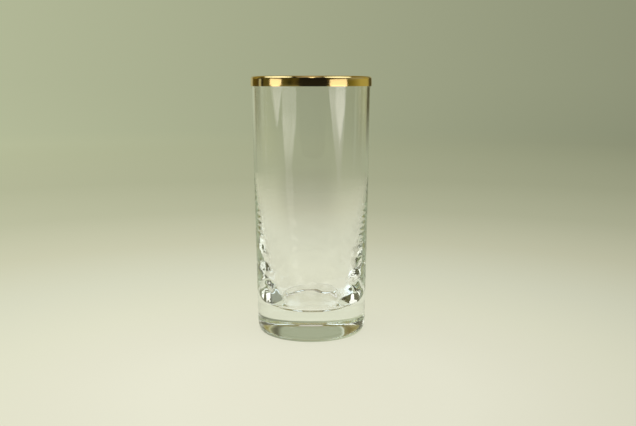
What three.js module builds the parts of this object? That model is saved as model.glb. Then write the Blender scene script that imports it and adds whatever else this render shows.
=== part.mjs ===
// A highball glass: a straight clear tumbler with a thick base, and a gilt metal band folded over its lip.
// Millimetres, +Z up. The origin is the centre of the resting face.
import * as THREE from 'three';

// Driving dimensions of the tumbler's outside
const GLASS_HEIGHT = 140.85;   // from the table to the top of the lip, without the band
const RIM_DIAMETER = 65.0;     // at the lip
const BASE_DIAMETER = 60.5;    // where the line of the wall meets the table
const HEEL_INSET = 2.35;       // how far the heel, a quarter ellipse, draws in to the resting face
const HEEL_HEIGHT = 5.2;       // how far up the wall the heel starts
const LIP_WALL = 1.6;          // wall thickness at the lip, which is half round

// Driving dimensions of the cavity, from the lip down
const SHOULDER_HEIGHT = 88.5;  // height at which the inside starts to leave the line of the wall
const SHOULDER_WALL = 1.8;     // wall thickness there
const SHOULDER_PULL = 25.3;    // how long the curve keeps to the wall below the shoulder
const KNEE_DIAMETER = 39.5;    // where the inside turns from the wall towards the floor
const KNEE_RISE = 6.2;         // height of the knee over the floor
const KNEE_LEAN = 17.2;        // slant of the wall at the knee, in degrees from upright
const KNEE_PULL_UP = 12.7;     // how long the curve keeps to that slant above the knee
const KNEE_PULL_DOWN = 5.8;    // and below it
const BASE_THICKNESS = 13.9;   // solid glass under the floor
const FLOOR_DIAMETER = 26.4;   // where the ramp round the floor meets the floor
const RAMP_RISE = 28.3;        // slant of that ramp, in degrees from level
const RAMP_PULL = 3.6;         // how long the curve keeps to the ramp
const FLOOR_EASE = 2.2;        // rounding between the ramp and the floor, along either of them

// Driving dimensions of the hollow polished into the underside, which leaves a resting ring
const PUNT_DIAMETER = 40.0;
const PUNT_DEPTH = 0.3;

// Driving dimensions of the band
const BAND_HEIGHT = 5.4;       // outer skirt, from its lower edge to the top of the fold
const BAND_INNER_DEPTH = 4.2;  // inner skirt, from its lower edge to the top of the fold
const BAND_SHEET = 0.4;        // thickness of the metal
const BAND_SEAT = 0.25;        // film of cement between the metal and the glass

// Fineness of the round forms
const SEGMENTS = 72;           // around the axis
const HEEL_STEPS = 8;
const LIP_STEPS = 10;
const SHOULDER_STEPS = 20;
const KNEE_STEPS = 9;
const FLOOR_STEPS = 5;
const PUNT_STEPS = 4;

// The straight walls of the tumbler, outside and inside
const rimRadius = RIM_DIAMETER / 2;
const baseRadius = BASE_DIAMETER / 2;
const lipRadius = LIP_WALL / 2;
const lipCentre = new THREE.Vector2(rimRadius - lipRadius, GLASS_HEIGHT - lipRadius);
const outerSlope = (rimRadius - baseRadius) / lipCentre.y;
const outerRadius = (height) => baseRadius + outerSlope * height;
const shoulder = new THREE.Vector2(outerRadius(SHOULDER_HEIGHT) - SHOULDER_WALL, SHOULDER_HEIGHT);
const innerSlope = (rimRadius - LIP_WALL - shoulder.x) / (lipCentre.y - shoulder.y);
const innerRadius = (height) => shoulder.x + innerSlope * (height - shoulder.y);

// Joins runs of a profile, each a curve and its number of steps, into one list of points
function trace(runs) {
  const points = [];
  for (const [curve, steps] of runs) {
    points.push(...curve.getPoints(steps));
  }
  return points.filter((point, i) => i === 0 || point.distanceTo(points[i - 1]) > 1e-6);
}

function arc(centre, radius, from, to) {
  return new THREE.EllipseCurve(centre.x, centre.y, radius, radius, from, to, to < from);
}

function line(from, to) {
  return new THREE.LineCurve(from, to);
}

// The point that lies a given length from another, at an angle in degrees from level
function reach(from, degrees, length) {
  const angle = THREE.MathUtils.degToRad(degrees);
  return new THREE.Vector2(Math.cos(angle), Math.sin(angle)).multiplyScalar(length).add(from);
}

// Revolves a profile of radius and height about +Z
function revolve(name, profile, material) {
  const geometry = new THREE.LatheGeometry(profile, SEGMENTS);
  geometry.rotateX(Math.PI / 2);
  const mesh = new THREE.Mesh(geometry, material);
  mesh.name = name;
  return mesh;
}

// The inside of the tumbler, from the lip to the middle of the floor. It keeps to the wall down to the
// shoulder, draws in to the knee, turns there onto a ramp, and the ramp eases into the flat floor.
function cavityRuns() {
  const lipInner = new THREE.Vector2(rimRadius - LIP_WALL, lipCentre.y);
  const belowShoulder = SHOULDER_HEIGHT - SHOULDER_PULL;
  const shoulderHandle = new THREE.Vector2(innerRadius(belowShoulder), belowShoulder);

  const knee = new THREE.Vector2(KNEE_DIAMETER / 2, BASE_THICKNESS + KNEE_RISE);
  const kneeSlant = 90 - KNEE_LEAN;
  const aboveKnee = reach(knee, kneeSlant, KNEE_PULL_UP);
  const belowKnee = reach(knee, kneeSlant, -KNEE_PULL_DOWN);

  const rampFoot = new THREE.Vector2(FLOOR_DIAMETER / 2, BASE_THICKNESS);
  const rampEnd = reach(rampFoot, RAMP_RISE, FLOOR_EASE);
  const rampHandle = reach(rampEnd, RAMP_RISE, RAMP_PULL);
  const floorEdge = new THREE.Vector2(rampFoot.x - FLOOR_EASE, BASE_THICKNESS);
  const floorCentre = new THREE.Vector2(0, BASE_THICKNESS);

  return [
    [line(lipInner, shoulder), 1],
    [new THREE.CubicBezierCurve(shoulder, shoulderHandle, aboveKnee, knee), SHOULDER_STEPS],
    [new THREE.CubicBezierCurve(knee, belowKnee, rampHandle, rampEnd), KNEE_STEPS],
    [new THREE.QuadraticBezierCurve(rampEnd, rampFoot, floorEdge), FLOOR_STEPS],
    [line(floorEdge, floorCentre), 1],
  ];
}

// The tumbler: underside, heel, outside wall and lip, then down the inside to the cavity's floor
function makeGlass() {
  const puntRadius = PUNT_DIAMETER / 2;
  const puntSphere = (puntRadius ** 2 + PUNT_DEPTH ** 2) / (2 * PUNT_DEPTH);
  const puntCentre = new THREE.Vector2(0, PUNT_DEPTH - puntSphere);
  const puntRim = new THREE.Vector2(puntRadius, 0);

  const heelTop = new THREE.Vector2(outerRadius(HEEL_HEIGHT), HEEL_HEIGHT);
  const heelFoot = new THREE.Vector2(heelTop.x - HEEL_INSET, 0);
  const heel = new THREE.EllipseCurve(heelFoot.x, heelTop.y, HEEL_INSET, HEEL_HEIGHT, -Math.PI / 2, 0);
  const lipOuter = new THREE.Vector2(rimRadius, lipCentre.y);

  const profile = trace([
    [arc(puntCentre, puntSphere, Math.PI / 2, Math.acos(puntRadius / puntSphere)), PUNT_STEPS],
    [line(puntRim, heelFoot), 1],
    [heel, HEEL_STEPS],
    [line(heelTop, lipOuter), 1],
    [arc(lipCentre, lipRadius, 0, Math.PI), LIP_STEPS],
    ...cavityRuns(),
  ]);

  // Clear soda-lime glass, fire-polished, with a faint green cast where it is thick
  const clearGlass = new THREE.MeshStandardMaterial({
    color: '#d9dfcb',
    roughness: 0.03,
    metalness: 0,
    transparent: true,
    opacity: 0.35,
  });
  return revolve('glass', profile, clearGlass);
}

// The band: one sheet folded over the lip, with an outer and an inner skirt along the glass walls
function makeRimBand() {
  const foldInside = lipRadius + BAND_SEAT;
  const foldOutside = foldInside + BAND_SHEET;
  const top = lipCentre.y + foldOutside;
  const outerHem = top - BAND_HEIGHT;
  const innerHem = top - BAND_INNER_DEPTH;

  const outerSkirt = (gap, height) => new THREE.Vector2(outerRadius(height) + gap, height);
  const innerSkirt = (gap, height) => new THREE.Vector2(innerRadius(height) - gap, height);
  const seatGap = BAND_SEAT;
  const faceGap = BAND_SEAT + BAND_SHEET;

  const profile = trace([
    [line(outerSkirt(seatGap, outerHem), outerSkirt(faceGap, outerHem)), 1],
    [line(outerSkirt(faceGap, outerHem), outerSkirt(faceGap, lipCentre.y)), 1],
    [arc(lipCentre, foldOutside, 0, Math.PI), LIP_STEPS],
    [line(innerSkirt(faceGap, lipCentre.y), innerSkirt(faceGap, innerHem)), 1],
    [line(innerSkirt(faceGap, innerHem), innerSkirt(seatGap, innerHem)), 1],
    [line(innerSkirt(seatGap, innerHem), innerSkirt(seatGap, lipCentre.y)), 1],
    [arc(lipCentre, foldInside, Math.PI, 0), LIP_STEPS],
    [line(outerSkirt(seatGap, lipCentre.y), outerSkirt(seatGap, outerHem)), 1],
  ]);

  // Gilt brass, spun and polished
  const giltBrass = new THREE.MeshStandardMaterial({
    color: '#cda53f',
    roughness: 0.14,
    metalness: 1,
  });
  return revolve('rim_band', profile, giltBrass);
}

const highball = new THREE.Group();
highball.name = 'highball_glass';
highball.add(makeGlass());
highball.add(makeRimBand());

export default highball;
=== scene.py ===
# %% [markdown]
# # A highball glass with a gilt rim
#
# The object is a straight tumbler of clear glass with a thick base, and a thin gilt band folded over its
# lip. Almost everything that the eye sees in such a glass is bent light: the floor and the backdrop seen
# through it, the studio lights mirrored in it, and the dark corners of the room. So the lesson has two
# halves. The first models the two pieces at their real size, because a wrong curve inside the glass bends
# the light to the wrong place. The second builds the small studio that the glass shows back.
#
# The imported model is loaded first, as a fixed frame.

# %% The frame
import math

import bmesh
import bpy
from mathutils import Matrix, Vector, noise
from mathutils.geometry import interpolate_bezier


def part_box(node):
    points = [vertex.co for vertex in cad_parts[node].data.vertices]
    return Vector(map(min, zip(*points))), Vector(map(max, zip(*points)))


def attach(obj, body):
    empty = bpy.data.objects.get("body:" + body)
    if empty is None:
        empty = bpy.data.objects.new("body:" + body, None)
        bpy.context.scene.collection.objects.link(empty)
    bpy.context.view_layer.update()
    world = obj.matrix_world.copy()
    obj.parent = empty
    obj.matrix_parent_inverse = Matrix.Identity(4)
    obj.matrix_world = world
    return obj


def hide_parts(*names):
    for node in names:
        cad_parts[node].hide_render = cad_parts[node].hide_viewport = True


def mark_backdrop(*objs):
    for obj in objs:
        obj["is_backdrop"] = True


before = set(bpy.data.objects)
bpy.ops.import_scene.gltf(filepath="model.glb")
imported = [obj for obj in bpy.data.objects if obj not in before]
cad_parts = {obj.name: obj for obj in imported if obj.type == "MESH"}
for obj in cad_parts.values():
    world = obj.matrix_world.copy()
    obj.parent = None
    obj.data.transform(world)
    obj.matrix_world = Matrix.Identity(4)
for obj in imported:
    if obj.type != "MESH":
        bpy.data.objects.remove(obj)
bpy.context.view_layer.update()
scene = bpy.context.scene
MM = 0.001
print("nodes in the frame:", sorted(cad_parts))

# %% [markdown]
# ## Sizes
#
# What the two pieces share with the solids is read from the frame: the height and the lip of the glass,
# and the reach of the band. The rest are the sizes a mould maker would write on the drawing. All are in
# millimetres, and a profile point is a radius and a height over the table.

# %% Sizes of the tumbler
glass_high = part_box("glass")[1]
GLASS_HEIGHT = glass_high.z / MM
RIM_RADIUS = glass_high.x / MM
BASE_RADIUS = 30.25      # where the line of the wall meets the table
HEEL_INSET = 2.35        # the heel is a quarter ellipse, this wide
HEEL_HEIGHT = 5.2        # and this high
LIP_RADIUS = 0.8         # the lip is half round, and twice this thick
PUNT_RADIUS = 20.0       # shallow hollow under the base, inside the resting ring
PUNT_DEPTH = 0.3
SHOULDER_HEIGHT = 88.5   # the inside leaves the line of the wall here
SHOULDER_WALL = 1.8
SHOULDER_PULL = 25.3     # how long the curve keeps to the wall below the shoulder
KNEE = (19.75, 20.1)     # the inside turns from the wall towards the floor here
KNEE_LEAN = 17.2         # degrees from upright
KNEE_PULL_UP = 12.7      # how long the curve keeps to that slant above the knee
KNEE_PULL_DOWN = 5.8     # and below it
FLOOR_HEIGHT = 13.9      # solid glass under the floor of the cavity
RAMP_FOOT = 13.2         # radius at which the ramp round the floor meets the floor
RAMP_RISE = 28.3         # degrees from level
RAMP_PULL = 3.6          # how long the curve keeps to the ramp
FLOOR_EASE = 2.2         # rounding between the ramp and the floor

lip_height = GLASS_HEIGHT - LIP_RADIUS
lip_centre = RIM_RADIUS - LIP_RADIUS
mouth_radius = RIM_RADIUS - 2 * LIP_RADIUS
outer_slope = (RIM_RADIUS - BASE_RADIUS) / lip_height
shoulder_radius = BASE_RADIUS + outer_slope * SHOULDER_HEIGHT - SHOULDER_WALL
inner_slope = (mouth_radius - shoulder_radius) / (lip_height - SHOULDER_HEIGHT)


def outer_radius(height):
    return BASE_RADIUS + outer_slope * height


def inner_radius(height):
    return shoulder_radius + inner_slope * (height - SHOULDER_HEIGHT)


print(f"glass {GLASS_HEIGHT:.2f} high, lip {2 * RIM_RADIUS:.2f} across")
print(f"its wall leans {outer_slope * 100:.2f} in 100")

# %% [markdown]
# ## Drawing a profile
#
# Both pieces are round, so each is drawn as half a section and turned about the axis, as on a lathe. A
# section could be a long list of points, but a designer draws it with a few curves. Here every stretch is
# one Bezier curve: two ends and two handles. A straight stretch has its handles on the line, and a quarter
# of an ellipse has them 0.5523 of the way to the corner.

# %% Curves of a profile
QUARTER = 4 / 3 * math.tan(math.pi / 8)
WELD = 1e-7              # metres; points no further apart than this are one


def point(radius, height):
    return Vector((radius * MM, 0, height * MM))


def reach(start, degrees, length):
    """The point a length away, at an angle from level."""
    turn = math.radians(degrees)
    return start + Vector((math.cos(turn), 0, math.sin(turn))) * length * MM


def curve(start, handle_a, handle_b, end, steps):
    return interpolate_bezier(start, handle_a, handle_b, end, steps + 1)


def straight(start, end, steps):
    return curve(start, start.lerp(end, 1 / 3), end.lerp(start, 1 / 3), end, steps)


def rounded(start, corner, end, steps, fullness=2 / 3):
    """A curve that leaves start towards a corner and arrives at end from it."""
    return curve(start, start.lerp(corner, fullness), end.lerp(corner, fullness), end, steps)


def joined(*runs):
    points = [runs[0][0]]
    for run in runs:
        points += [p for p in run if (p - points[-1]).length > WELD]
    return points


print(f"handles of a quarter ellipse reach {QUARTER:.4f} of the way to its corner")

# %% [markdown]
# ## Turning a profile into a piece
#
# The half section becomes a wire in a bmesh, and `spin` carries it round the axis. A full turn is merged at
# its seam, and the points on the axis, which spin leaves as a bundle, are merged by distance. Only then are
# the normals recalculated, so that they all point out of the glass. Light bends by the normal of the
# surface, so the faces are shaded smooth, and the only edges left sharp are those that turn by more than
# 40 degrees.

# %% The lathe
TURN_STEPS = 224
SHARP_EDGE = math.radians(40)


def turned(name, profile, closed=False, finish=None):
    bm = bmesh.new()
    verts = [bm.verts.new(p) for p in profile]
    edges = [bm.edges.new(pair) for pair in zip(verts, verts[1:])]
    if closed:
        edges.append(bm.edges.new((verts[-1], verts[0])))
    bmesh.ops.spin(bm, geom=verts + edges, cent=(0, 0, 0), axis=(0, 0, 1), angle=2 * math.pi,
                   steps=TURN_STEPS, use_merge=True)
    bmesh.ops.remove_doubles(bm, verts=bm.verts, dist=WELD)
    bmesh.ops.recalc_face_normals(bm, faces=bm.faces)
    if finish:
        finish(bm)
    mesh = bpy.data.meshes.new(name)
    bm.to_mesh(mesh)
    bm.free()
    mesh.shade_smooth()
    mesh.set_sharp_from_angle(angle=SHARP_EDGE)
    piece = bpy.data.objects.new(name, mesh)
    scene.collection.objects.link(piece)
    return piece


print(f"a full turn has {TURN_STEPS} steps, {2 * math.pi * RIM_RADIUS / TURN_STEPS:.2f} mm each at the lip")

# %% [markdown]
# ## Waves inside the tumbler
#
# The real glass is pressed, and the chilled plunger leaves its inside slightly wavy where the glass gets
# thick: fine level waves beside the two seams of the mould, and uneven swells lower down. A bump would tilt
# the light without moving the surface, which goes wrong where light runs along the wall at a shallow angle.
# So the waves are in the mesh. They are about two tenths of a millimetre high at most. Nobody sees them as
# waves, but they break the edges of the bent light into small bright and dark facets.

# %% Waves left by the plunger
RIPPLE_HEIGHT = 0.035    # mm, of the fine level waves
RIPPLE_PITCH = 3.3
RIPPLE_MIDDLE = 60.0     # height over the table at which they are strongest
RIPPLE_SPAN = 16.0
SEAM_FALL = 6            # how quickly they fade away from the two seams, left and right
LUMP_HEIGHT = 0.2        # mm, of the uneven swells
LUMP_SIZE = 5.5
LUMP_MIDDLE = 37.0
LUMP_SPAN = 14.0
SMOOTH_FROM = 92.0       # above this height the inside is smooth
FLOOR_CLEAR = 1.0        # and so it is up to this far over the floor
OUTER_SKIN = 1.0         # a point closer to the outside than this is not on the inside


def bell(height, middle, span):
    return math.exp(-((height - middle) / span) ** 2)


def waver(bm):
    """Moves the inside of the tumbler in and out by the plunger's waves and swells."""
    for v in bm.verts:
        height = v.co.z / MM
        out = Vector((v.co.x, v.co.y, 0))
        inside = out.length / MM <= outer_radius(height) - OUTER_SKIN
        if not inside or not FLOOR_HEIGHT + FLOOR_CLEAR < height < SMOOTH_FROM:
            continue
        out.normalize()
        ripple = math.sin(2 * math.pi * height / RIPPLE_PITCH) * out.x ** SEAM_FALL
        swell = noise.noise(v.co / (LUMP_SIZE * MM))
        wave = RIPPLE_HEIGHT * bell(height, RIPPLE_MIDDLE, RIPPLE_SPAN) * ripple
        lump = LUMP_HEIGHT * bell(height, LUMP_MIDDLE, LUMP_SPAN) * swell
        v.co += out * (wave + lump) * MM


print(f"waves of {RIPPLE_HEIGHT} mm, strongest {RIPPLE_MIDDLE:.0f} mm over the table")
print(f"swells of up to {LUMP_HEIGHT} mm, strongest {LUMP_MIDDLE:.0f} mm over it")

# %% [markdown]
# ## The tumbler
#
# The plunger leaves the cavity, and the outside and the lip are then fire-polished. The plunger is not a
# plain cylinder. Its wall keeps parallel to the outside down to the shoulder, draws in to a knee, and runs
# down a ramp to a flat end. A cylinder with a rounded end would be quicker to draw, but this shape makes
# the thick base and the bright corners beside it.

# %% The tumbler's section
PUNT_STEPS, RING_STEPS, HEEL_STEPS = 12, 4, 28
WALL_STEPS, LIP_STEPS = 24, 8
NECK_STEPS, WAIST_STEPS, SHOULDER_STEPS = 16, 14, 150
KNEE_STEPS, EASE_STEPS, FLOOR_STEPS = 48, 16, 8

punt_top = point(0, PUNT_DEPTH)
punt_rim = point(PUNT_RADIUS, 0)
heel_top = point(outer_radius(HEEL_HEIGHT), HEEL_HEIGHT)
heel_foot = point(outer_radius(HEEL_HEIGHT) - HEEL_INSET, 0)
heel_corner = point(outer_radius(HEEL_HEIGHT), 0)
lip_outer = point(RIM_RADIUS, lip_height)
lip_top = point(lip_centre, GLASS_HEIGHT)
lip_inner = point(mouth_radius, lip_height)
smooth_from = point(inner_radius(SMOOTH_FROM), SMOOTH_FROM)
shoulder = point(shoulder_radius, SHOULDER_HEIGHT)
below_shoulder = point(inner_radius(SHOULDER_HEIGHT - SHOULDER_PULL), SHOULDER_HEIGHT - SHOULDER_PULL)
knee = point(*KNEE)
above_knee = reach(knee, 90 - KNEE_LEAN, KNEE_PULL_UP)
below_knee = reach(knee, 90 - KNEE_LEAN, -KNEE_PULL_DOWN)
ramp_foot = point(RAMP_FOOT, FLOOR_HEIGHT)
ramp_end = reach(ramp_foot, RAMP_RISE, FLOOR_EASE)
floor_edge = point(RAMP_FOOT - FLOOR_EASE, FLOOR_HEIGHT)

underside = [
    rounded(punt_top, point(PUNT_RADIUS / 2, PUNT_DEPTH), punt_rim, PUNT_STEPS),
    straight(punt_rim, heel_foot, RING_STEPS),
    rounded(heel_foot, heel_corner, heel_top, HEEL_STEPS, QUARTER),
]
outside = [
    straight(heel_top, lip_outer, WALL_STEPS),
    rounded(lip_outer, point(RIM_RADIUS, GLASS_HEIGHT), lip_top, LIP_STEPS, QUARTER),
    rounded(lip_top, point(mouth_radius, GLASS_HEIGHT), lip_inner, LIP_STEPS, QUARTER),
]
cavity = [
    straight(lip_inner, smooth_from, NECK_STEPS),
    straight(smooth_from, shoulder, WAIST_STEPS),
    curve(shoulder, below_shoulder, above_knee, knee, SHOULDER_STEPS),
    curve(knee, below_knee, reach(ramp_end, RAMP_RISE, RAMP_PULL), ramp_end, KNEE_STEPS),
    rounded(ramp_end, ramp_foot, floor_edge, EASE_STEPS),
    straight(floor_edge, point(0, FLOOR_HEIGHT), FLOOR_STEPS),
]
glass = turned("tumbler", joined(*underside, *outside, *cavity), finish=waver)
print(f"tumbler: {len(glass.data.vertices)} points, {len(glass.data.polygons)} faces")

# %% [markdown]
# ## The gilt band
#
# The band is a strip of thin brass, rolled to a ring, folded over the lip and gilded. A coat of gold paint
# would end in nothing, but this band has a skirt that stands off the glass by a film of cement and ends in
# a hem. Its outer skirt is barrelled by less than a tenth of a millimetre, which rounds off what it
# mirrors. The band is drawn as a closed section, a hook over the lip, and turned like the glass. The hems
# are then bevelled, since a cut and burnished edge catches a fine line of light.

# %% The band's section
SEAT = 0.25                     # film of cement between the metal and the glass
SHEET = 0.4                     # thickness of the metal
INNER_SKIRT = 4.2               # from the top of the fold to the hem inside the glass
HEM_BEVEL = 0.1
HEM_SEGMENTS = 3
HEM_LEAN = math.radians(2.4)    # the outer skirt leans out at its hem
BROW_LEAN = math.radians(4.2)   # and in where it meets the fold
FOLD_STEPS, BARREL_STEPS, SKIRT_STEPS = 14, 16, 6
band_low, band_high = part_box("rim_band")
band_top = band_high.z / MM
outer_hem = band_low.z / MM
inner_hem = band_top - INNER_SKIRT


def fold(gap, out_radius, out_lean=0.0):
    """The hook over the lip, at a gap from the glass, from the outer skirt to the inner one."""
    out_side = point(out_radius, lip_height)
    in_side = point(mouth_radius - gap, lip_height)
    top = point(lip_centre, GLASS_HEIGHT + gap)
    out_corner = point(out_radius - (LIP_RADIUS + gap) * math.tan(out_lean), GLASS_HEIGHT + gap)
    in_corner = point(mouth_radius - gap, GLASS_HEIGHT + gap)
    return joined(rounded(out_side, out_corner, top, FOLD_STEPS, QUARTER),
                  rounded(top, in_corner, in_side, FOLD_STEPS, QUARTER))


face = SEAT + SHEET
half_skirt = (lip_height - outer_hem) / 2
hem_radius = outer_radius(outer_hem) + face
belly_radius = hem_radius + half_skirt * math.tan(HEM_LEAN)
brow_radius = belly_radius - half_skirt * math.tan(BROW_LEAN)
outer_face = rounded(point(hem_radius, outer_hem), point(belly_radius, outer_hem + half_skirt),
                     point(brow_radius, lip_height), BARREL_STEPS)
inner_face = straight(point(mouth_radius - face, lip_height),
                      point(inner_radius(inner_hem) - face, inner_hem), SKIRT_STEPS)
inner_seat = straight(point(inner_radius(inner_hem) - SEAT, inner_hem),
                      point(mouth_radius - SEAT, lip_height), SKIRT_STEPS)
outer_seat = straight(point(RIM_RADIUS + SEAT, lip_height),
                      point(outer_radius(outer_hem) + SEAT, outer_hem), SKIRT_STEPS)
hook = joined(outer_face, fold(face, brow_radius, BROW_LEAN), inner_face, inner_seat,
              fold(SEAT, RIM_RADIUS + SEAT)[::-1], outer_seat)
band = turned("gilt_band", hook, closed=True)
hem = band.modifiers.new("burnished hem", "BEVEL")
hem.width = HEM_BEVEL * MM
hem.segments = HEM_SEGMENTS
hem.limit_method = "ANGLE"
hem.angle_limit = SHARP_EDGE
print(f"band: hem at {outer_hem:.2f}, top at {band_top:.2f}, {len(band.data.polygons)} faces")

# %% [markdown]
# ## Nodes in one line
#
# A material is a small graph. One function adds a node, sets its options, and fills its sockets: a socket
# gets a value, an output of another node, or another node, which stands for its first output. Colours are
# written as the sRGB hex values that a picture shows, and one function turns them into the linear values
# that light is reckoned in.

# %% Helpers for materials
def linear(hex_colour):
    shares = [int(hex_colour[i:i + 2], 16) / 255 for i in (1, 3, 5)]
    return tuple(s / 12.92 if s <= 0.04045 else ((s + 0.055) / 1.055) ** 2.4 for s in shares) + (1.0,)


def add(tree, kind, sockets=None, stops=(), **options):
    node = tree.nodes.new("ShaderNode" + kind)
    for name, value in options.items():
        setattr(node, name, value)
    for i, (place, colour) in enumerate(stops):
        ramp = node.color_ramp.elements
        stop = ramp[i] if i < 2 else ramp.new(place)   # a new ramp has two stops already
        stop.position = place
        stop.color = linear(colour)
    for name, value in (sockets or {}).items():
        if isinstance(value, bpy.types.Node):
            value = value.outputs[0]
        if isinstance(value, bpy.types.NodeSocket):
            tree.links.new(value, node.inputs[name])
        else:
            node.inputs[name].default_value = value
    return node


def empty_material(name):
    material = bpy.data.materials.new(name)
    material.use_nodes = True
    material.node_tree.nodes.clear()
    return material, material.node_tree


print("sRGB #808080 is", round(linear("#808080")[0], 3), "in linear light")

# %% [markdown]
# ## Clear glass
#
# Soda-lime glass bends light by an index of 1.52. A pure dielectric has no colour of its own, but iron in
# the sand takes away a little red and blue, which only shows where the light runs far through the glass, as
# in the base. That is absorption, and it belongs to the volume. The surface is fire-polished, so its
# roughness is zero, but a broad unevenness, some 15 mm from crest to crest, makes reflections waver a little.
#
# A shadow ray can't follow the bent light, so for shadows alone the glass is taken as a thin veil. Otherwise
# it would throw a shadow as black as iron's.

# %% Clear pressed glass
GLASS_INDEX = 1.52
IRON_TINT = "#d9eee6"    # what is left of white light after a run through the glass
IRON_DENSITY = 3.5       # per metre
UNEVENNESS = 15.0        # mm from crest to crest
UNEVEN_HEIGHT = 0.004    # mm
VEIL = "#e2e6da"         # light that gets through to a shadow
WHITE = "#ffffff"


def clear_glass():
    material, tree = empty_material("soda-lime glass, pressed and fire-polished")
    spot = add(tree, "TexCoord").outputs["Object"]
    swell = add(tree, "TexNoise", {"Vector": spot, "Scale": 1 / (UNEVENNESS * MM), "Detail": 1.0})
    uneven = add(tree, "Bump", {"Height": swell.outputs["Fac"], "Strength": 1.0,
                                "Distance": UNEVEN_HEIGHT * MM})
    body = add(tree, "BsdfPrincipled", {"Base Color": linear(WHITE), "Roughness": 0.0, "IOR": GLASS_INDEX,
                                        "Transmission Weight": 1.0, "Normal": uneven})
    veil = add(tree, "BsdfTransparent", {"Color": linear(VEIL)})
    shadow_ray = add(tree, "LightPath").outputs["Is Shadow Ray"]
    seen = add(tree, "MixShader", {0: shadow_ray, 1: body, 2: veil})
    iron = add(tree, "VolumeAbsorption", {"Color": linear(IRON_TINT), "Density": IRON_DENSITY})
    add(tree, "OutputMaterial", {"Surface": seen, "Volume": iron})
    return material


glass.data.materials.append(clear_glass())
print("glass:", glass.data.materials[0].name)

# %% [markdown]
# ## Gilt brass
#
# Gold is a metal, so its colour is the colour of its reflections, and it has no other. A band that was spun
# and polished on a lathe keeps very fine rings, which run round it and draw reflections out into thin lines.
# They come from a noise that is stretched along the ring: coarse round the axis, fine up the skirt. The
# rings also vary the roughness, so a highlight has a soft, uneven edge.

# %% Gilt brass, spun and polished
GOLD = "#ecd092"
RING_PITCH = 0.35                 # mm between the rings left by the lathe
RING_HEIGHT = 0.0006              # mm
RING_STRETCH = 60                 # how many times longer than wide
GLOSSIEST, DULLEST = 0.06, 0.16   # roughness at the foot and at the crest of a ring


def gilt_brass():
    material, tree = empty_material("gilt brass, spun and polished")
    spot = add(tree, "TexCoord").outputs["Object"]
    along = add(tree, "Mapping", {"Vector": spot, "Scale": (1 / RING_STRETCH, 1 / RING_STRETCH, 1)})
    rings = add(tree, "TexNoise", {"Vector": along, "Scale": 1 / (RING_PITCH * MM), "Detail": 2.0})
    gloss = add(tree, "MapRange", {"Value": rings.outputs["Fac"], "To Min": GLOSSIEST, "To Max": DULLEST})
    grooves = add(tree, "Bump", {"Height": rings.outputs["Fac"], "Strength": 1.0,
                                 "Distance": RING_HEIGHT * MM})
    metal = add(tree, "BsdfPrincipled", {"Base Color": linear(GOLD), "Metallic": 1.0, "Roughness": gloss,
                                         "Normal": grooves})
    add(tree, "OutputMaterial", {"Surface": metal})
    return material


band.data.materials.append(gilt_brass())
print("band:", band.data.materials[0].name)

# %% [markdown]
# ## Joining the frame
#
# Each piece stands for the solid of the same form, and moves with the one body of the part.

# %% Pieces and the frame
for piece, node_name, slot_name in ((glass, "glass", "clear_glass"), (band, "rim_band", "gilt_brass")):
    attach(piece, "root")
    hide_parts(node_name)
    print(piece.name, "replaces", node_name)

# %% [markdown]
# ## Tones of the paper
#
# The glass stands on a sheet of pale paper that fades with distance, as paper does that is lit from the
# front. Lamps could make it fade, but they would light the glass as well. So that fall of light is painted:
# its tones are a few colours, at distances from the brightest spot, and a colour ramp runs through them. The
# room and the lights get ramps of the same kind later, so one helper fits the real places of the stops to
# the ramp's own length.

# %% Colours along a length
# Painted light: the paper's tones fall off from its brightest spot, as the light from the front does.
PAPER_STOPS = (          # mm from the brightest spot
    (0, "#e5e3cf"), (67, "#e5e4d0"), (113, "#e0dfca"), (158, "#dcdcc5"), (243, "#d2d3bc"), (360, "#c5c5aa"),
    (533, "#b4b699"), (811, "#a9ac8e"), (1333, "#a5a98a"), (2046, "#a2a789"))


def tones_along(tree, value, unit, stops):
    """Colours along a value, with each stop at its real place in a unit of that value."""
    first, last = stops[0][0], stops[-1][0]
    share = add(tree, "MapRange", {"Value": value, "From Min": first * unit, "From Max": last * unit})
    places = [((place - first) / (last - first), colour) for place, colour in stops]
    return add(tree, "ValToRGB", {0: share}, stops=places)


print(f"the paper fades over {PAPER_STOPS[-1][0]} mm, in {len(PAPER_STOPS)} tones")

# %% [markdown]
# ## Light and shade on the paper
#
# A glass is a lens. It gathers light under its thick base and casts a pale pool just behind itself, and
# further back the front lights throw its long, soft shadow. Rays that are traced from the lamps through the
# glass could draw all three, but they are slow and leave specks. So they are painted on the paper as light
# and shade, by places in millimetres, and lie still from whatever side they are seen. The painted light
# also falls off to the right.

# %% Pools of light and a thrown shadow
SIDE_FALL = 0.4                        # how much the light falls off to the right, per metre
SIDE_FALL_FAR = 0.65                   # and the most it falls off at any distance
GATHERED = 1.2                         # gain of the light right under the base
GATHERED_REACH = (20.0, 30.0)          # mm from the axis, over which that gain fades
SPREAD_FROM = 450.0                    # mm in front of the axis, from where pool and shadow spread
THROWN = 0.165                         # share of the light that the shadow takes
THROWN_ASIDE = 0.012                   # it lies a little to the left, as a slope of the spread
THROWN_SLOPES = (0.025, 0.07)          # slopes to either side at which it is full, and has gone
THROWN_ALONG = (120, 330, 450, 1300)   # mm behind the axis: begins, is full, until here, and has gone
CAST = 0.08                            # share of light that the pool adds
CAST_SLOPES = (0.03, 0.06)
CAST_ALONG = (25, 45, 60, 150)


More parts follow.
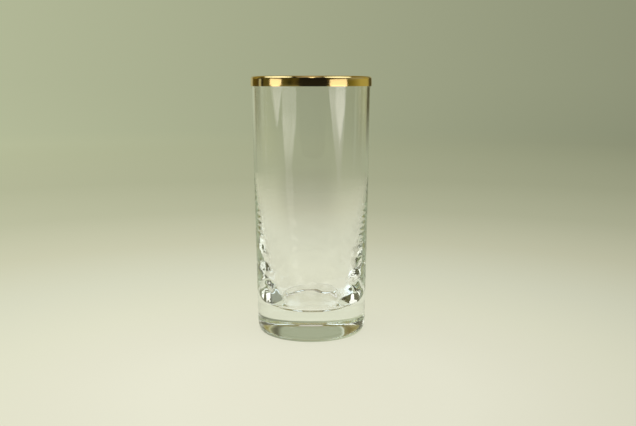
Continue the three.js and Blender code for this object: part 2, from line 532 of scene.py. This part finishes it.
def strip_behind(tree, amount, slope, slopes, behind, along):
    """An amount in a strip behind the glass, full in its middle and eased off to all sides."""
    begins, full, until, gone = [distance * MM for distance in along]
    aside = add(tree, "Math", {0: slope}, operation="ABSOLUTE")
    across = add(tree, "MapRange", {"Value": aside, "From Min": slopes[0], "From Max": slopes[1],
                                    "To Min": amount, "To Max": 0.0}, interpolation_type="SMOOTHSTEP")
    start = add(tree, "MapRange", {"Value": behind, "From Min": begins, "From Max": full},
                interpolation_type="SMOOTHSTEP")
    end = add(tree, "MapRange", {"Value": behind, "From Min": until, "From Max": gone,
                                 "To Min": 1.0, "To Max": 0.0}, interpolation_type="SMOOTHSTEP")
    length = add(tree, "Math", {0: start, 1: end}, operation="MULTIPLY")
    return add(tree, "Math", {0: across, 1: length}, operation="MULTIPLY")


def paper_light(tree, spot, from_brightest, from_axis):
    """How strongly the paper shines at a spot, with its painted fall of light to the right, the painted pools
    under and behind the glass, and the glass's painted shadow.
    """
    place = add(tree, "SeparateXYZ", {0: spot}).outputs
    far = add(tree, "Math", {0: SIDE_FALL_FAR, 1: from_brightest}, operation="DIVIDE")
    fall = add(tree, "Math", {0: far, 1: SIDE_FALL}, operation="MINIMUM")
    fallen = add(tree, "Math", {0: place["X"], 1: fall}, operation="MULTIPLY")
    lit = add(tree, "Math", {0: 1.0, 1: fallen}, operation="SUBTRACT")
    gain = add(tree, "MapRange", {"Value": from_axis, "From Min": GATHERED_REACH[0] * MM,
                                  "From Max": GATHERED_REACH[1] * MM, "To Min": GATHERED, "To Max": 1.0})
    bright = add(tree, "Math", {0: lit, 1: gain}, operation="MULTIPLY")
    spread = add(tree, "Math", {0: place["Y"], 1: SPREAD_FROM * MM}, operation="ADD")
    slope = add(tree, "Math", {0: place["X"], 1: spread}, operation="DIVIDE")
    shadow_slope = add(tree, "Math", {0: slope, 1: THROWN_ASIDE}, operation="ADD")
    # Painted shadow of the glass, and a painted pool of light just behind it.
    thrown = strip_behind(tree, THROWN, shadow_slope, THROWN_SLOPES, place["Y"], THROWN_ALONG)
    cast = strip_behind(tree, CAST, slope, CAST_SLOPES, place["Y"], CAST_ALONG)
    kept = add(tree, "Math", {0: 1.0, 1: thrown}, operation="SUBTRACT")
    given = add(tree, "Math", {0: kept, 1: cast}, operation="ADD")
    return add(tree, "Math", {0: bright, 1: given}, operation="MULTIPLY")


print(f"the shadow takes {THROWN:.1%} of the light, the pool adds {CAST:.0%}")

# %% [markdown]
# ## Pale paper
#
# A lit floor would need very even light to keep its colour, so most of its brightness is given off by the
# sheet itself, and a smaller share is reflected, which takes the soft shadow of the glass. For a mirror the
# sheet ends early, as a real table would, and beyond it the mirror sees the room. The light path counts how
# often a ray was mirrored, also inside the glass.

# %% Pale paper, matt
PAPER_BRIGHTEST = (0, -100 * MM, 0)
SHADOW_SHARE = 0.15      # of the paper's light that is reflected, close to the glass
SHADOW_REACH = 400.0     # mm from the axis at which that share has faded out
MIRRORED_REACH = 700.0   # mm from the axis at which the sheet ends for a mirror


def is_mirrored(tree):
    """1 for a ray that was mirrored at least once, and 0 for any other."""
    times = add(tree, "LightPath").outputs["Glossy Depth"]
    return add(tree, "Math", {0: times, 1: 0.5}, operation="GREATER_THAN")


def pale_paper():
    material, tree = empty_material("pale paper, matt")
    spot = add(tree, "TexCoord").outputs["Object"]
    offset = add(tree, "VectorMath", {0: spot, 1: PAPER_BRIGHTEST}, operation="DISTANCE")
    from_brightest = offset.outputs["Value"]
    from_axis = add(tree, "VectorMath", {0: spot}, operation="LENGTH").outputs["Value"]
    tone = tones_along(tree, from_brightest, MM, PAPER_STOPS)
    power = paper_light(tree, spot, from_brightest, from_axis)
    glow = add(tree, "Emission", {"Color": tone, "Strength": power})
    matt = add(tree, "BsdfDiffuse", {"Color": tone})
    near = add(tree, "MapRange", {"Value": from_axis, "From Max": SHADOW_REACH * MM,
                                  "To Min": SHADOW_SHARE, "To Max": 0.0})
    sheet = add(tree, "MixShader", {0: near, 1: glow, 2: matt})
    beyond = add(tree, "Math", {0: from_axis, 1: MIRRORED_REACH * MM}, operation="GREATER_THAN")
    ends = add(tree, "Math", {0: is_mirrored(tree), 1: beyond}, operation="MULTIPLY")
    shown = add(tree, "MixShader", {0: ends, 1: sheet, 2: add(tree, "BsdfTransparent")})
    add(tree, "OutputMaterial", {"Surface": shown})
    return material


paper = pale_paper()
print("paper:", paper.name, f"with {len(paper.node_tree.nodes)} nodes")

# %% [markdown]
# ## The table
#
# The sheet is a plain disc, so wide that its edge is never seen. It lies a hair below the resting ring, so
# that the underside of the glass still mirrors. It is staging, as the panels of light are later, and is not
# part of the model.

# %% The sheet on the table
PAPER_GAP = 0.05         # mm under the resting ring
PAPER_RADIUS = 30000.0
PAPER_SIDES = 64


def staged(name, bm, material):
    mesh = bpy.data.meshes.new(name)
    bm.to_mesh(mesh)
    bm.free()
    mesh.materials.append(material)
    thing = bpy.data.objects.new(name, mesh)
    scene.collection.objects.link(thing)
    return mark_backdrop(thing) or thing


sheet_mesh = bmesh.new()
bmesh.ops.create_circle(sheet_mesh, cap_ends=True, segments=PAPER_SIDES, radius=PAPER_RADIUS * MM)
bmesh.ops.translate(sheet_mesh, verts=sheet_mesh.verts, vec=(0, 0, -PAPER_GAP * MM))
table = staged("paper_table", sheet_mesh, paper)
print("table:", table.name, f"{PAPER_GAP} mm under the glass")

# %% [markdown]
# ## Tones of the room
#
# Seen directly, or straight through the glass, the room is a plain backdrop. What the glass and the band
# mirror is the whole room: the pale backdrop behind, olive and brown walls beside it, with a pale upright
# strip on the left and a golden stretch on the right, and a dim front behind the camera. A picture of a
# room, wrapped round the scene, would hold far more than shows. A few tones by direction are enough. One
# ramp goes round the horizon, and one round the walls above it.

# %% Tones by direction
BACKDROP = "#a2a789"
CEILING = "#1a1814"
CEILING_BACK = "#84793f"
OVERHEAD = "#fff8ea"
ROUND_THE_HORIZON = (    # degrees from the camera's side, to the right
    (-180, BACKDROP), (-157, "#b4b99c"), (-147, "#bec0a0"), (-140, "#5e5420"), (-119, "#4e4420"),
    (-116, "#2c2608"), (-113, "#bcc2b4"), (-108.5, "#bcc2b4"), (-106.5, "#0e0b04"), (-103, "#0e0b04"),
    (-98, "#57542f"), (-50, "#57542f"), (-40, "#2c2a10"), (-31, "#4e4826"), (-22, "#2a2418"),
    (60, "#2a2418"), (70, "#605c28"), (85, "#7e7838"), (108, "#b2ae6d"), (130, "#b2ae6d"),
    (136, "#a59d61"), (142, "#504c30"), (158, "#504c30"), (165, BACKDROP), (180, BACKDROP))
ROUND_THE_WALLS = (      # the same, from about eye height up
    (-180, BACKDROP), (-155.5, BACKDROP), (-153.5, "#e2e8d2"), (-152, "#8c8452"), (-146, "#75652c"),
    (-136, "#8f8240"), (-124, "#9a9258"), (-119, "#403c24"), (-108, "#2c2816"), (-99, "#57542f"),
    (-91, "#57542f"), (-60, "#4b4622"), (60, "#4b4622"), (70, "#75766c"), (85, "#9c9e8c"),
    (116, "#9c9e8c"), (126, "#a0985a"), (137, "#94893e"), (140, "#c0be98"), (143, "#8e8e68"),
    (148, "#5c5a40"), (152, "#5c5a40"), (157, BACKDROP), (180, BACKDROP))
UP_FROM_THE_HORIZON = (  # degrees of rise: black where the walls are, white where the ceiling is
    (0, "#000000"), (24, "#000000"), (36, WHITE), (90, WHITE))
OVER_THE_CEILING = ((0, CEILING), (79, CEILING), (83, OVERHEAD), (90, OVERHEAD))
print(f"{len(ROUND_THE_HORIZON)} tones round the horizon, {len(ROUND_THE_WALLS)} round the walls")

# %% [markdown]
# ## The room
#
# The world is drawn by the bearing of a direction and its rise over the horizon. The two ramps meet at eye
# height. Below the horizon, past the end of the table, the walls turn into the backdrop's colour. Above
# them is a ceiling, dark in front and golden at the back, with a soft light straight overhead. A ray that
# was never mirrored sees the plain backdrop instead of the walls, with painted light that is brighter on
# the left and falls off to the right, like the paper's.

# %% The world
DEGREE = math.radians(1)
EYE_HEIGHT = (4, 8)            # degrees of rise between which the walls take over from the horizon
PAST_THE_TABLE = (-2.5, -6)    # degrees of rise between which they turn into the backdrop
CEILING_TURNS = (-0.2, 0.3)    # how far back a direction points, between which the ceiling turns golden


def room():
    world = bpy.data.worlds.new("studio room")
    world.use_nodes = True
    tree = world.node_tree
    tree.nodes.clear()
    way = add(tree, "SeparateXYZ", {0: add(tree, "TexCoord").outputs["Generated"]}).outputs
    front = add(tree, "Math", {0: way["Y"], 1: -1.0}, operation="MULTIPLY")
    bearing = add(tree, "Math", {0: way["X"], 1: front}, operation="ARCTAN2")
    rise = add(tree, "Math", {0: way["Z"]}, operation="ARCSINE")

    low = tones_along(tree, bearing, DEGREE, ROUND_THE_HORIZON)
    high = tones_along(tree, bearing, DEGREE, ROUND_THE_WALLS)
    eye = add(tree, "MapRange", {"Value": rise, "From Min": EYE_HEIGHT[0] * DEGREE,
                                 "From Max": EYE_HEIGHT[1] * DEGREE})
    sunk = add(tree, "MapRange", {"Value": rise, "From Min": PAST_THE_TABLE[0] * DEGREE,
                                  "From Max": PAST_THE_TABLE[1] * DEGREE})
    upright = add(tree, "Mix", {"Factor": eye, 6: low, 7: high}, data_type="RGBA").outputs[2]
    walls = add(tree, "Mix", {"Factor": sunk, 6: upright, 7: linear(BACKDROP)}, data_type="RGBA").outputs[2]

    # Painted light: the plain backdrop darkens to the right, as the light on the paper falls off.
    level = add(tree, "Math", {0: way["X"], 1: -SIDE_FALL_FAR, 2: 1.0}, operation="MULTIPLY_ADD")
    plain = add(tree, "VectorMath", {0: linear(BACKDROP)[:3], "Scale": level}, operation="SCALE")
    around = add(tree, "Mix", {"Factor": is_mirrored(tree), 6: plain, 7: walls}, data_type="RGBA").outputs[2]

    above = tones_along(tree, rise, DEGREE, UP_FROM_THE_HORIZON)
    overhead = tones_along(tree, rise, DEGREE, OVER_THE_CEILING)
    back = add(tree, "MapRange", {"Value": way["Y"], "From Min": CEILING_TURNS[0],
                                  "From Max": CEILING_TURNS[1]})
    ceiling = add(tree, "Mix", {"Factor": back, 6: overhead, 7: linear(CEILING_BACK)}, data_type="RGBA")
    whole = add(tree, "Mix", {"Factor": above, 6: around, 7: ceiling.outputs[2]}, data_type="RGBA")
    light = add(tree, "Background", {"Color": whole.outputs[2], "Strength": 1.0})
    add(tree, "OutputWorld", {"Surface": light})
    return world


scene.world = room()
print("world:", scene.world.name, f"with {len(scene.world.node_tree.nodes)} nodes")

# %% [markdown]
# ## Cloth of a softbox
#
# A softbox is a lamp behind a white cloth. An area lamp would light the paper too, and is only ever a
# rectangle or an ellipse. So a panel is a glowing sheet instead, and only mirrored rays see it glow. The
# cloth is brightest at the height of the lamp behind it, and dims towards the table, which gives a streak
# in the glass its soft lower end.

# %% Diffusing cloth, lit from behind
CLOTH_STOPS = (          # mm over the table
    (0, "#75716c"), (36, "#959189"), (56, "#bcb7af"), (76, "#e4ded5"), (97, "#fff8ee"), (108, "#fff8ee"),
    (118, "#d9d4ca"), (1000, "#d9d4ca"))


def light_cloth(strength, tint):
    material, tree = empty_material("diffusing cloth, lit from behind")
    spot = add(tree, "SeparateXYZ", {0: add(tree, "TexCoord").outputs["Object"]})
    tone = tones_along(tree, spot.outputs["Z"], MM, CLOTH_STOPS)
    tinted = add(tree, "VectorMath", {0: tone, 1: linear(tint)[:3]}, operation="MULTIPLY")
    glow = add(tree, "Emission", {"Color": tinted, "Strength": strength})
    cloth = add(tree, "MixShader", {0: is_mirrored(tree), 1: add(tree, "BsdfTransparent"), 2: glow})
    add(tree, "OutputMaterial", {"Surface": cloth})
    return material


print(f"the cloth has {len(CLOTH_STOPS)} tones, over {CLOTH_STOPS[-1][0]} mm of height")

# %% [markdown]
# ## Softboxes, a window and a black flag
#
# Two tall softboxes stand close to the glass, one on each side of the camera. The gilt band mirrors them as
# two bright patches, and the walls of the glass as faint upright streaks that end in a point. Panels high
# above draw the thin bright lines on the fold of the band, and one at the back draws the pale line on the
# heel. A wide window, seen only through the glass, makes the white facets in its foot. A black flag behind
# the camera, seen only in direct reflections, gives the band the dark middle without which gold looks like
# yellow paint.
#
# A panel is a small grid with three rows of points. Each row gets its height and its share of the width, the
# corners are rounded, and the sheet is then turned to face the glass.

# %% Panels
DAYLIGHT = "#dff0ff"
STRAIGHT = (1, 1, 1)     # shares of the width at the foot, the waist and the top
TAPERED = (0.5, 1, 0.5)
CORNER = 0.1             # rounding, as a share of the width
CORNER_STEPS = 6
PANELS = (   # bearing and lean in degrees; distance, heights of the rows, width and the foot's aside in mm
    dict(name="softbox_left", bearing=-67.2, distance=450, heights=(80, 122, 190), width=200,
         shares=(0.08, 1, 1), strength=2.2),
    dict(name="softbox_right", bearing=51, distance=450, heights=(12, 112, 190), width=285,
         shares=(0.08, 1, 0.95), strength=2.0, aside=45),
    dict(name="softbox_high_left", bearing=-87, lean=48, distance=470, heights=(440, 660, 880), width=840,
         shares=TAPERED, strength=3.4, tint=DAYLIGHT),
    dict(name="softbox_high_right", bearing=67, lean=48, distance=470, heights=(440, 660, 880), width=700,
         shares=TAPERED, strength=3.6, tint=DAYLIGHT),
    dict(name="softbox_front_top", bearing=-5, lean=60, distance=350, heights=(500, 750, 1000), width=470,
         strength=0.55),
    dict(name="softbox_front", bearing=2, lean=48, distance=470, heights=(440, 660, 880), width=125,
         shares=TAPERED, strength=2.6),
    dict(name="softbox_back", bearing=180, lean=36, distance=900, heights=(570, 660, 750), width=340,
         strength=1.2),
    dict(name="window_left", bearing=-52, distance=900, heights=(300, 500, 900), width=1000,
         strength=1.8, hidden_from=("glossy",)),
    dict(name="black_flag", bearing=4, distance=1300, heights=(-60, 400, 900), width=1240,
         strength=0.02, hidden_from=("transmission",)),
)


def panel(name, bearing, distance, heights, width, strength, lean=0, shares=STRAIGHT, aside=0, tint=WHITE,
          hidden_from=()):
    bm = bmesh.new()
    bmesh.ops.create_grid(bm, x_segments=1, y_segments=2, size=0.5)
    middle = (heights[0] + heights[2]) / 2
    for v in bm.verts:
        row = round(v.co.y * 2) + 1
        v.co.x *= width * MM * shares[row]
        v.co.x += (aside, 0, 0)[row] * MM
        v.co.y = (heights[row] - middle) * MM
    bmesh.ops.dissolve_faces(bm, faces=bm.faces)
    bmesh.ops.bevel(bm, geom=bm.verts[:], offset=CORNER * width * MM, offset_type="OFFSET",
                    affect="VERTICES", segments=CORNER_STEPS, profile=0.5, material=-1, clamp_overlap=True)
    upright = Matrix.Rotation(math.radians(90 - lean), 4, "X")
    stand = Matrix.Translation((0, -distance * MM, middle * MM))
    turn = Matrix.Rotation(math.radians(bearing), 4, "Z")
    bmesh.ops.transform(bm, matrix=turn @ stand @ upright, verts=bm.verts)
    thing = staged(name, bm, light_cloth(strength, tint))
    for rays in ("camera", "diffuse", "shadow", *hidden_from):
        setattr(thing, "visible_" + rays, False)
    return thing


panels = [panel(**row) for row in PANELS]
print("panels:", [thing.name for thing in panels])

# %% [markdown]
# ## Light for the table
#
# One broad lamp overhead gives the paper its share of light and lays a very soft shadow round the foot. A
# small lamp would draw a hard one. The glass and the band don't show the lamp, since the room has a light
# overhead for them.

# %% A broad lamp
LAMP_HEIGHT = 900.0
LAMP_SIZE = 1200.0
LAMP_WATTS = 12.0
lamp = bpy.data.lights.new("broad_lamp", "AREA")
lamp.shape = "SQUARE"
lamp.size = LAMP_SIZE * MM
lamp.energy = LAMP_WATTS
lamp_stand = bpy.data.objects.new("broad_lamp", lamp)
lamp_stand.location = (0, 0, LAMP_HEIGHT * MM)
lamp_stand.visible_glossy = False
lamp_stand.visible_transmission = False
scene.collection.objects.link(lamp_stand)
print(f"lamp: {LAMP_WATTS} W, {LAMP_HEIGHT} mm up")

# %% [markdown]
# ## Camera
#
# The camera was found by fitting the outline of the glass to the picture: a normal lens, held at the height
# of the rim, looking down by nine degrees. No shift is needed. The light path gets enough bounces for a ray
# to run up inside the wall of the glass.

# %% The camera
CAMERA_AT = (3.73, -452.75, 138.34)
LOOK_DOWN = 9.09         # degrees
LENS = 46.37             # mm
SENSOR = 36.0            # mm wide
NEAREST = 10.0           # mm from the camera at which it starts to see
BOUNCES = 128
THROUGH_BOUNCES = 64     # how often a ray may pass a surface of the glass
camera = bpy.data.cameras.new("camera")
camera.sensor_width = SENSOR
camera.lens = LENS
camera.clip_start = NEAREST * MM
camera_stand = bpy.data.objects.new("camera", camera)
camera_stand.location = Vector(CAMERA_AT) * MM
camera_stand.rotation_euler = (math.radians(90 - LOOK_DOWN), 0, 0)
scene.collection.objects.link(camera_stand)
scene.camera = camera_stand
scene.view_settings.view_transform = "Standard"
scene.cycles.max_bounces = BOUNCES
scene.cycles.transmission_bounces = THROUGH_BOUNCES
scene.cycles.glossy_bounces = BOUNCES
print(f"camera: {LENS} mm lens, {-CAMERA_AT[1]:.0f} mm from the axis")
